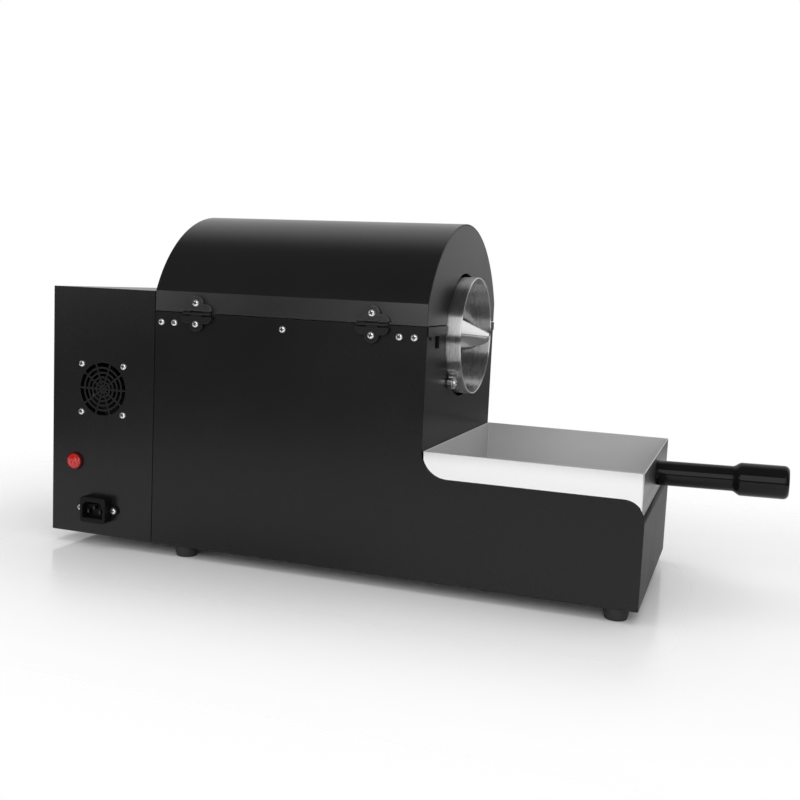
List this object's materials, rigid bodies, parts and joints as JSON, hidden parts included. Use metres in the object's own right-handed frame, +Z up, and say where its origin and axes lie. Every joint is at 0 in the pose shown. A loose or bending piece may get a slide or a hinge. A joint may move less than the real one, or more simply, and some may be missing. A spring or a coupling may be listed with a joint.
{
  "type": "coffee bean roaster",
  "caption": "Home drum coffee roaster: black sheet-metal cabinet with hinged curved lid, turning steel drum with open mouth, sliding polished tray with long handle, fan and control box",
  "frame": {"origin": "centre of the bounding box in X and Y, on the floor under the rubber feet", "axes": "+X along the drum from the control box to the tray handle, +Y towards the operator side with the knobs (the fan, inlet and hinges are on the -Y side), +Z up"},
  "size_m": [0.7307, 0.291, 0.35],
  "materials": {
    "black_paint": "black powder coat, satin",
    "end_plate_paint": "black powder coat, satin",
    "foot_rubber": "moulded, dull",
    "screw_steel": "bright plated steel",
    "roller_steel": "ground bearing steel",
    "liner_steel": "plain aluminised sheet, dull",
    "fibre_blanket": "needled ceramic fibre blanket",
    "element_steel": "dark oxidised tube",
    "ceramic": "unglazed white ceramic",
    "probe_steel": "turned steel",
    "drum_steel": "stainless sheet",
    "mouth_steel": "stainless sheet, brushed round",
    "cast_alloy": "die cast",
    "motor_steel": "plated steel shell",
    "black_plastic": "moulded",
    "contact_brass": "nickel-plated contacts",
    "lamp_rim": "moulded",
    "red_lens": "faceted clear red",
    "pale_plastic": "moulded",
    "hinge_black": "black painted casting",
    "handle_black": "moulded phenolic, polished",
    "polished_steel": "mirror-polished stainless sheet"
  },
  "bodies": {
    "cabinet": {"base_plate": "black_paint", "back_side_panel": "black_paint", "front_side_panel": "black_paint", "mouth_end_plate": "end_plate_paint", "tray_shelf": "black_paint", "motor_bulkhead": "black_paint", "control_box_cover": "black_paint", "control_back_panel": "black_paint", "control_front_panel": "black_paint", "rubber_feet": "foot_rubber", "foot_screws": "screw_steel", "cabinet_screws": "screw_steel", "chamber_liner": "liner_steel", "chamber_insulation": "fibre_blanket", "heating_elements": "element_steel", "element_bushes": "ceramic", "temperature_probe": "probe_steel", "roller_bolts": "screw_steel", "shaft_bearing": "cast_alloy", "bulkhead_bolts": "screw_steel", "motor_bracket": "liner_steel", "gearbox_case": "cast_alloy", "motor_case": "motor_steel", "fan_frame": "black_plastic", "power_inlet": "black_plastic", "inlet_pins": "contact_brass", "pilot_lamp_body": "lamp_rim", "pilot_lens": "red_lens", "terminal_block": "pale_plastic", "thermostat_body": "motor_steel", "timer_body": "pale_plastic", "rocker_frame": "black_plastic", "hinge_leaves_lower": "hinge_black", "hinge_pins": "screw_steel"},
    "drum": {"drum_shell": "drum_steel", "drum_rear_head": "drum_steel", "drum_front_ring": "drum_steel", "drum_neck": "mouth_steel", "discharge_blade": "mouth_steel", "mixing_vanes": "drum_steel", "drum_shaft": "probe_steel", "shaft_coupling": "probe_steel", "motor_shaft": "probe_steel"},
    "roller_at_back": {"back_roller": "roller_steel"},
    "roller_at_front": {"front_roller": "roller_steel"},
    "fan_wheel": {"fan_impeller": "black_plastic"},
    "lid": {"lid_shell": "black_paint", "lid_rear_plate": "black_paint", "lid_mouth_plate": "end_plate_paint", "lid_liner": "liner_steel", "lid_insulation": "fibre_blanket", "lid_handle": "handle_black", "hinge_leaves_upper": "hinge_black", "hinge_screws_upper": "screw_steel"},
    "tray": {"collecting_tray": "polished_steel", "tray_handle": "handle_black", "handle_bolt": "screw_steel"},
    "heat_control": {"heat_knob": "black_plastic"},
    "timer_control": {"timer_knob": "black_plastic"},
    "direction_switch": {"drum_rocker": "black_plastic"}
  },
  "joints": [
    {"name": "drum_spin", "type": "hinge", "parent": "cabinet", "child": "drum", "pos_m": [-0.1, -0.0115, 0.238], "axis": [1, 0, 0], "continuous": true},
    {"name": "back_roller_spin", "type": "hinge", "parent": "cabinet", "child": "roller_at_back", "pos_m": [0.04545, -0.05962, 0.19312], "axis": [1, 0, 0], "continuous": true},
    {"name": "front_roller_spin", "type": "hinge", "parent": "cabinet", "child": "roller_at_front", "pos_m": [0.04545, 0.03662, 0.19312], "axis": [1, 0, 0], "continuous": true},
    {"name": "fan_spin", "type": "hinge", "parent": "cabinet", "child": "fan_wheel", "pos_m": [-0.30485, -0.122, 0.1655], "axis": [0, 1, 0], "continuous": true},
    {"name": "lid_hinge", "type": "hinge", "parent": "cabinet", "child": "lid", "pos_m": [-0.1029, -0.13675, 0.249], "axis": [1, 0, 0], "range_deg": [0, 100]},
    {"name": "tray_slide", "type": "slide", "parent": "cabinet", "child": "tray", "axis": [1, 0, 0], "range_m": [0, 0.19]},
    {"name": "heat_knob_turn", "type": "hinge", "parent": "cabinet", "child": "heat_control", "pos_m": [-0.30485, 0.12, 0.212], "axis": [0, -1, 0], "range_deg": [0, 300]},
    {"name": "timer_knob_turn", "type": "hinge", "parent": "cabinet", "child": "timer_control", "pos_m": [-0.30485, 0.12, 0.1495], "axis": [0, -1, 0], "range_deg": [0, 300]},
    {"name": "direction_rock", "type": "hinge", "parent": "cabinet", "child": "direction_switch", "pos_m": [-0.30485, 0.1115, 0.087], "axis": [1, 0, 0], "range_deg": [-10, 10]}
  ],
  "couplings": [
    {"joint": "back_roller_spin", "follows": "drum_spin", "ratio": -9.0769},
    {"joint": "front_roller_spin", "follows": "drum_spin", "ratio": -9.0769}
  ]
}
